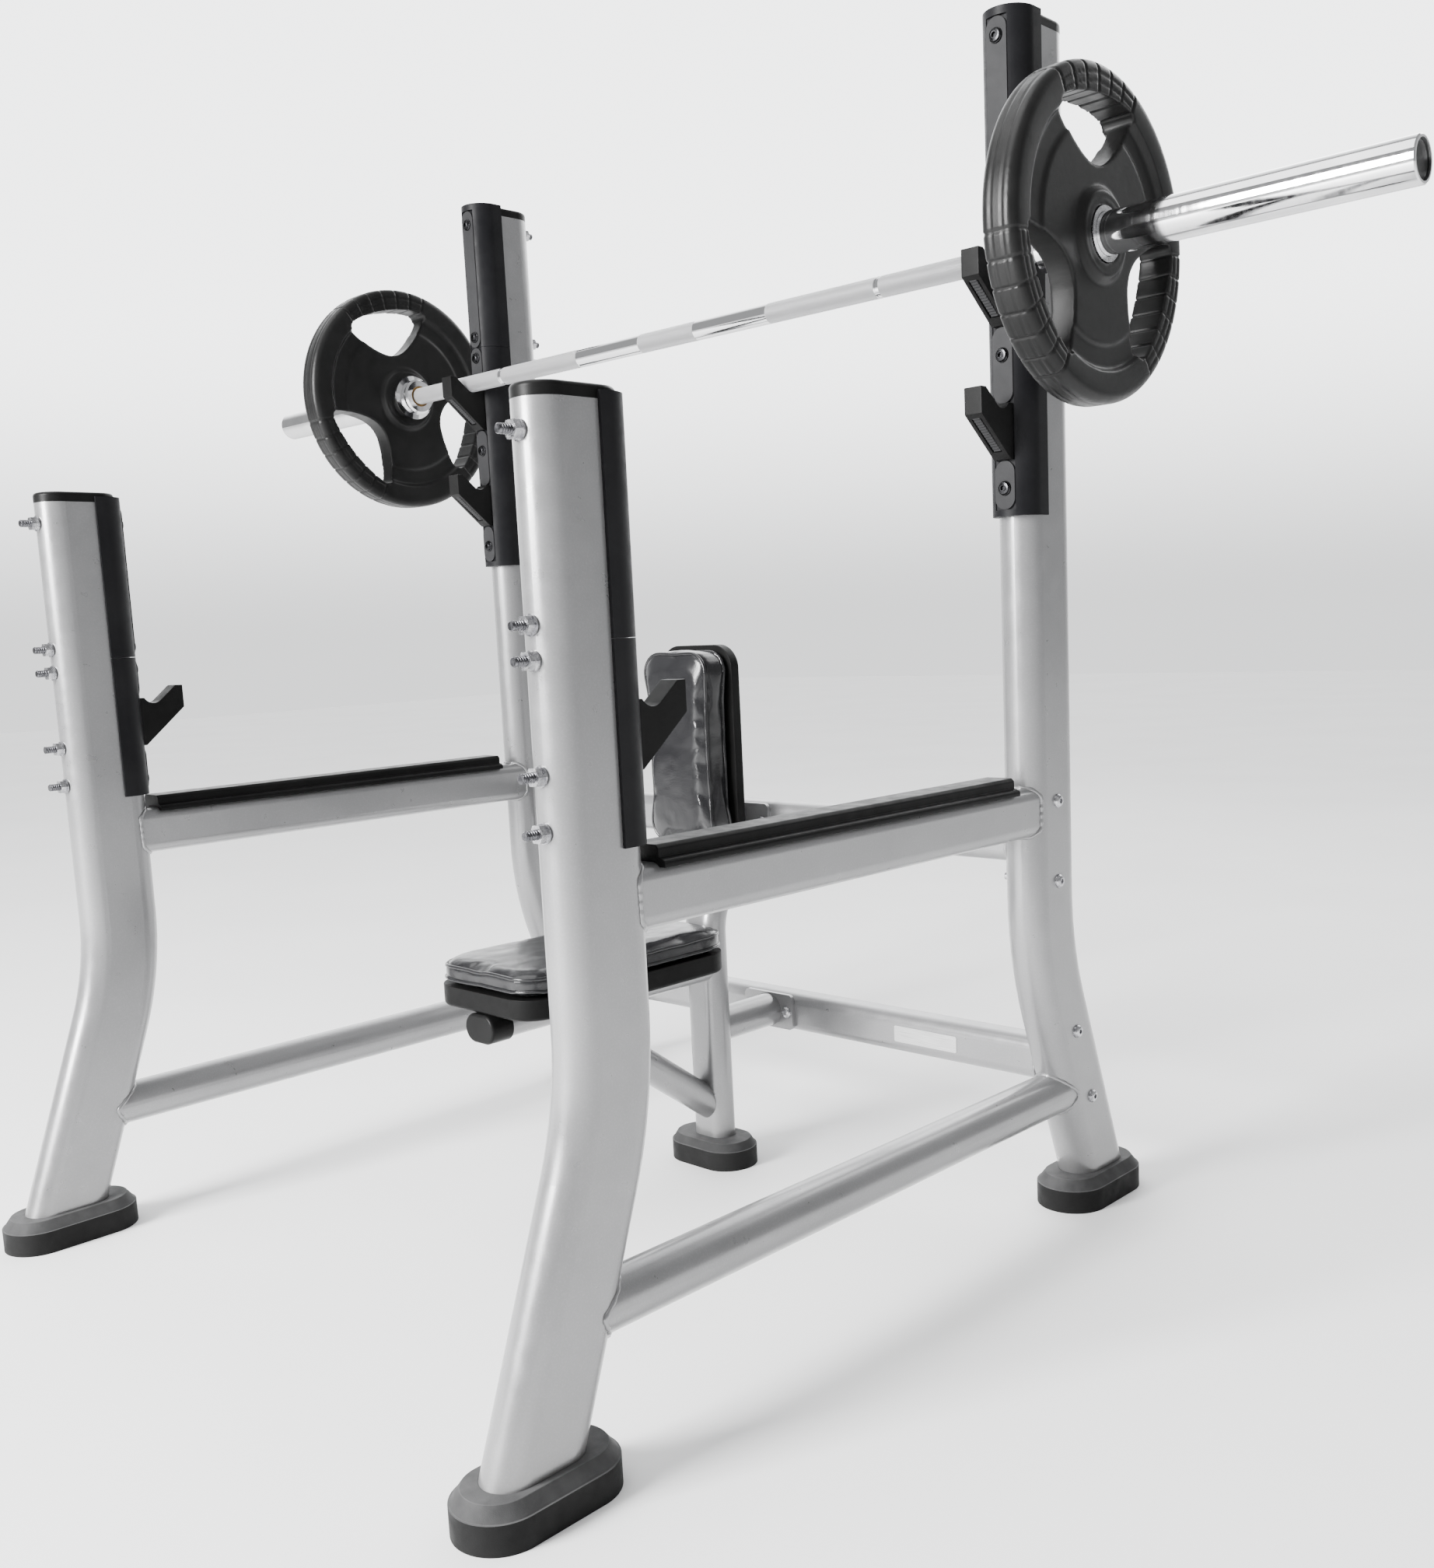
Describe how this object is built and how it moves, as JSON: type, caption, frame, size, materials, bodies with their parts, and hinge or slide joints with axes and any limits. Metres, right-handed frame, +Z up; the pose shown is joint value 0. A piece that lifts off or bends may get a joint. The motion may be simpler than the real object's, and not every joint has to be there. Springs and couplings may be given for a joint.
{
  "type": "olympic bench press",
  "caption": "Seated olympic press bench: splayed oval-tube columns with bar hooks, side rails, seat with upright back pad, and a barbell with a rubber-coated weight on each sleeve.",
  "frame": {"origin": "floor level, under the middle of the bar and the middle of the frame's depth", "axes": "+Z up, +X along the barbell towards the right-hand sleeve, the lifter sits facing -Y"},
  "size_m": [2.2, 1.2118, 1.578],
  "materials": {
    "frame_paint": "light silver-grey powder coat, semi-gloss",
    "guard_plastic": "black moulded plastic, fine grain",
    "hook_plastic": "black moulded plastic over a steel core",
    "strip_plastic": "mid-grey moulded plastic",
    "foot_rubber": "black moulded rubber",
    "cover_rubber": "black moulded rubber",
    "cap_plastic": "black moulded plastic",
    "pad_vinyl": "black glossy vinyl",
    "board_plastic": "dark grey moulded backing",
    "bolt_steel": "zinc-plated steel",
    "bar_chrome": "hard chrome, knurled in the gripping zones",
    "sleeve_chrome": "bright chrome",
    "plate_rubber": "iron weight with a black rubber skin",
    "hub_steel": "turned steel ring",
    "bush_bronze": "plain bronze bush"
  },
  "bodies": {
    "frame": {"left_front_post": "frame_paint", "left_upright": "frame_paint", "left_upper_rail": "frame_paint", "left_lower_rail": "frame_paint", "left_rail_cover": "cover_rubber", "left_front_foot": "foot_rubber", "left_rear_foot": "foot_rubber", "left_upright_top_guard": "guard_plastic", "left_upright_hook_guard": "guard_plastic", "left_upper_hook": "hook_plastic", "left_lower_hook": "hook_plastic", "left_front_top_guard": "guard_plastic", "left_front_hook_guard": "guard_plastic", "left_front_hook": "hook_plastic", "left_guard_strips": "strip_plastic", "right_front_post": "frame_paint", "right_upright": "frame_paint", "right_upper_rail": "frame_paint", "right_lower_rail": "frame_paint", "right_rail_cover": "cover_rubber", "right_front_foot": "foot_rubber", "right_rear_foot": "foot_rubber", "right_upright_top_guard": "guard_plastic", "right_upright_hook_guard": "guard_plastic", "right_upper_hook": "hook_plastic", "right_lower_hook": "hook_plastic", "right_front_top_guard": "guard_plastic", "right_front_hook_guard": "guard_plastic", "right_front_hook": "hook_plastic", "right_guard_strips": "strip_plastic", "column_caps": "cap_plastic", "upper_cross_member": "frame_paint", "lower_cross_member": "frame_paint", "cross_end_plates": "frame_paint", "bench_post": "frame_paint", "bench_foot": "foot_rubber", "seat_tube": "frame_paint", "seat_tube_plug": "cap_plastic", "seat_brace": "frame_paint", "link_tube": "frame_paint", "bench_flanges": "frame_paint", "seat_board": "board_plastic", "seat_pad": "pad_vinyl", "back_board": "board_plastic", "back_pad": "pad_vinyl", "guard_bolts": "bolt_steel", "guard_nuts": "bolt_steel", "cross_bolts": "bolt_steel", "flange_bolts": "bolt_steel"},
    "bar": {"bar_shaft": "bar_chrome"},
    "left_sleeve_set": {"left_sleeve": "sleeve_chrome", "left_bushes": "bush_bronze", "left_end_cap": "cap_plastic"},
    "left_weight": {"left_plate": "plate_rubber", "left_plate_hub": "hub_steel"},
    "right_sleeve_set": {"right_sleeve": "sleeve_chrome", "right_bushes": "bush_bronze", "right_end_cap": "cap_plastic"},
    "right_weight": {"right_plate": "plate_rubber", "right_plate_hub": "hub_steel"}
  },
  "joints": [
    {"name": "bar_lift", "type": "slide", "parent": "frame", "child": "bar", "axis": [0, 0, 1], "range_m": [0, 0.3]},
    {"name": "left_sleeve_spin", "type": "hinge", "parent": "bar", "child": "left_sleeve_set", "pos_m": [-0.8, 0.31, 1.276], "axis": [1, 0, 0], "continuous": true},
    {"name": "left_weight_slide", "type": "slide", "parent": "left_sleeve_set", "child": "left_weight", "axis": [-1, 0, 0], "range_m": [0, 0.35]},
    {"name": "right_sleeve_spin", "type": "hinge", "parent": "bar", "child": "right_sleeve_set", "pos_m": [0.8, 0.31, 1.276], "axis": [1, 0, 0], "continuous": true},
    {"name": "right_weight_slide", "type": "slide", "parent": "right_sleeve_set", "child": "right_weight", "axis": [1, 0, 0], "range_m": [0, 0.35]}
  ]
}
